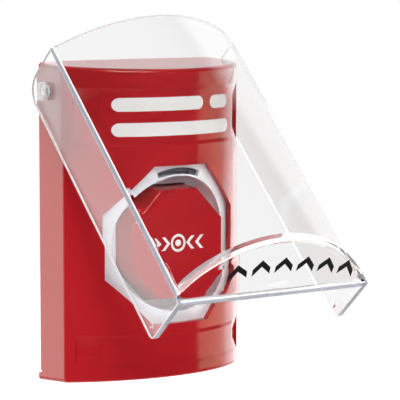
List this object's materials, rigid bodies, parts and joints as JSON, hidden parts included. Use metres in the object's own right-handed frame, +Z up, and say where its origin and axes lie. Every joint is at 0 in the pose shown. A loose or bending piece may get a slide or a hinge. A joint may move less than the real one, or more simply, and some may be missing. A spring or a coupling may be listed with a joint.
{
  "type": "covered emergency push button",
  "caption": "Wall-mounted red emergency push button station with an octagonal button in a white dish, under a clear hinged lift cover.",
  "frame": {"origin": "midway between the two wall screws, on the wall plane", "axes": "+X to the right, +Y into the wall, -Y to the front, +Z up"},
  "size_m": [0.0948, 0.1029, 0.143],
  "materials": {
    "red_gloss": "glossy moulded red",
    "white_gloss": "glossy moulded white",
    "clear": "clear polished",
    "black": "matte black",
    "steel": "zinc plated",
    "grey": "matte moulded grey"
  },
  "bodies": {
    "station": {"housing_shell": "red_gloss", "reflector_plate": "white_gloss", "latch_carrier": "black", "latch_leaf": "steel", "upper_label_insert": "red_gloss", "lower_label_insert": "red_gloss", "return_spring": "steel", "switch_bridge": "grey", "bridge_screws": "steel", "reflector_screws": "steel", "back_plate": "grey", "lock_screw": "steel", "contact_block_left": "black", "contact_block_right": "black", "terminal_screws_left": "steel", "terminal_screws_right": "steel"},
    "button": {"button_cap": "red_gloss", "button_stem": "grey", "stem_clip": "steel", "contact_plunger_left": "grey", "contact_plunger_right": "grey"},
    "cover": {"cover_shell": "clear", "hinge_pin_left": "clear", "hinge_pin_right": "clear"}
  },
  "joints": [
    {"name": "cover_hinge", "type": "hinge", "parent": "station", "child": "cover", "pos_m": [0, -0.0095, 0.0515], "axis": [-1, 0, 0], "range_deg": [-34.1, 44.6]},
    {"name": "button_press", "type": "slide", "parent": "station", "child": "button", "axis": [0, 1, 0], "range_m": [0, 0.0035], "stiffness_N_per_m": 1500, "springref_m": -0.005, "deforming": ["return_spring"]}
  ]
}
